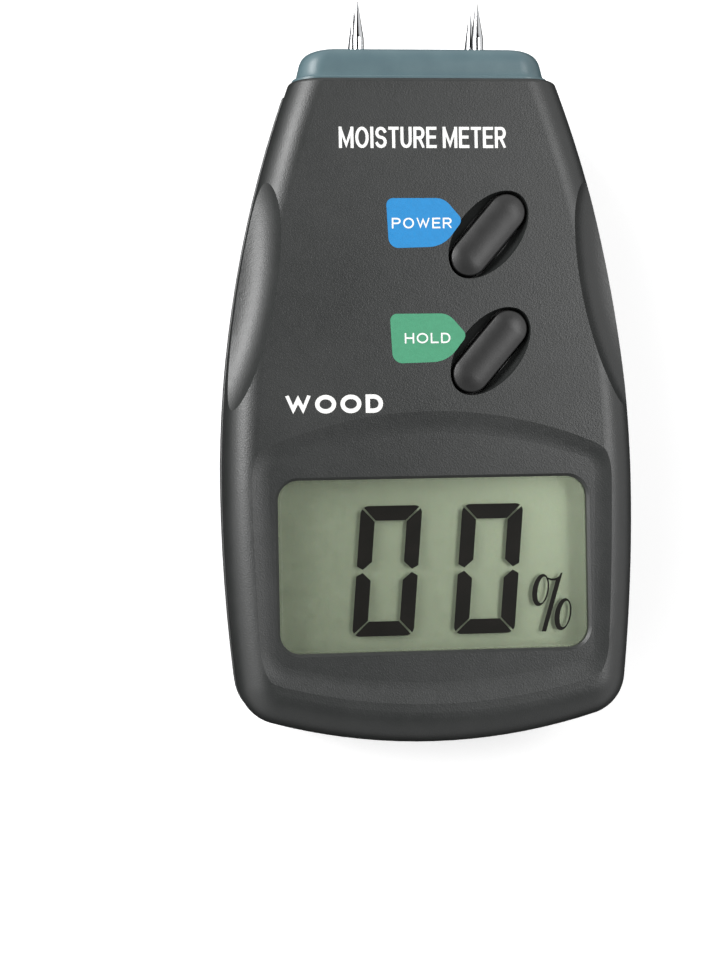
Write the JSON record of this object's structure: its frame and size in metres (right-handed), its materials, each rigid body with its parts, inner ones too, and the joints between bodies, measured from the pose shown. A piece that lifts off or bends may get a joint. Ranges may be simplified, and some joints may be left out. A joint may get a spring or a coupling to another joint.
{
  "type": "moisture meter",
  "caption": "Hand-held pin-type moisture meter: needle pins in a terminal block, two slanted push buttons, a segment display and a sliding battery door.",
  "frame": {"origin": "centre of the bounding box's underside, to within half a millimetre: on the back face, 63 mm from the rounded end", "axes": "+Z out of the display face, +Y along the pins towards their tips, +X to the right of the display"},
  "size_m": [0.07, 0.1268, 0.0275],
  "materials": {
    "case_plastic": "fine moulded texture",
    "block_plastic": "satin",
    "button_plastic": "satin",
    "pin_steel": "polished",
    "brass_parts": "bright",
    "window": "clear, gloss",
    "adhesive": "matte",
    "polarizer": "gloss film",
    "lcd_glass": "clear",
    "reflector": "silvered film",
    "frame_plastic": "matte",
    "zebra_rubber": "striped",
    "board": "solder mask",
    "chip_plastic": "matte",
    "capacitor_sleeve": "sleeve",
    "trimmer_plastic": "gloss",
    "crystal_can": "plain can",
    "resistor_ceramic": "glazed chip",
    "keypad_rubber": "soft, translucent",
    "carbon_rubber": "matte",
    "screw_steel": "plated",
    "foam": "open-cell foam",
    "battery_jacket": "gloss, no print",
    "terminal_metal": "nickel plated",
    "snap_plastic": "soft moulded",
    "lead_red": "wire sleeve",
    "lead_black": "wire sleeve"
  },
  "bodies": {
    "case": {"front_cover": "case_plastic", "back_cover": "case_plastic", "pin_block": "block_plastic", "pin_nuts": "brass_parts", "left_rear_pin": "pin_steel", "left_front_pin": "pin_steel", "right_rear_pin": "pin_steel", "right_front_pin": "pin_steel", "left_contact_bar": "brass_parts", "right_contact_bar": "brass_parts", "display_window": "window", "window_adhesive": "adhesive", "lcd_front_polarizer": "polarizer", "lcd_front_glass": "lcd_glass", "lcd_rear_glass": "lcd_glass", "lcd_reflector": "reflector", "display_frame": "frame_plastic", "zebra_strip": "zebra_rubber", "main_board": "board", "controller_chip": "chip_plastic", "amplifier_chip": "chip_plastic", "regulator_chip": "chip_plastic", "supply_capacitor": "capacitor_sleeve", "filter_capacitor": "capacitor_sleeve", "calibration_trimmer": "trimmer_plastic", "clock_crystal": "crystal_can", "board_resistors": "resistor_ceramic", "keypad_mat": "keypad_rubber", "power_dome": "keypad_rubber", "hold_dome": "keypad_rubber", "case_screws": "screw_steel", "board_screws": "screw_steel", "battery": "battery_jacket", "battery_terminals": "terminal_metal", "battery_snap": "snap_plastic", "battery_lead_red": "lead_red", "battery_lead_black": "lead_black"},
    "battery_door": {"battery_door": "case_plastic", "battery_pad": "foam"},
    "power_button": {"power_button": "button_plastic", "power_contact_pill": "carbon_rubber"},
    "hold_button": {"hold_button": "button_plastic", "hold_contact_pill": "carbon_rubber"}
  },
  "joints": [
    {"name": "power_press", "type": "slide", "parent": "case", "child": "power_button", "axis": [0, 0, -1], "range_m": [0, 0.0008], "stiffness_N_per_m": 1200, "springref_m": -0.0004, "deforming": ["power_dome"]},
    {"name": "hold_press", "type": "slide", "parent": "case", "child": "hold_button", "axis": [0, 0, -1], "range_m": [0, 0.0008], "stiffness_N_per_m": 1200, "springref_m": -0.0004, "deforming": ["hold_dome"]},
    {"name": "battery_door_slide", "type": "slide", "parent": "case", "child": "battery_door", "axis": [0, -1, 0], "range_m": [0, 0.04]}
  ]
}
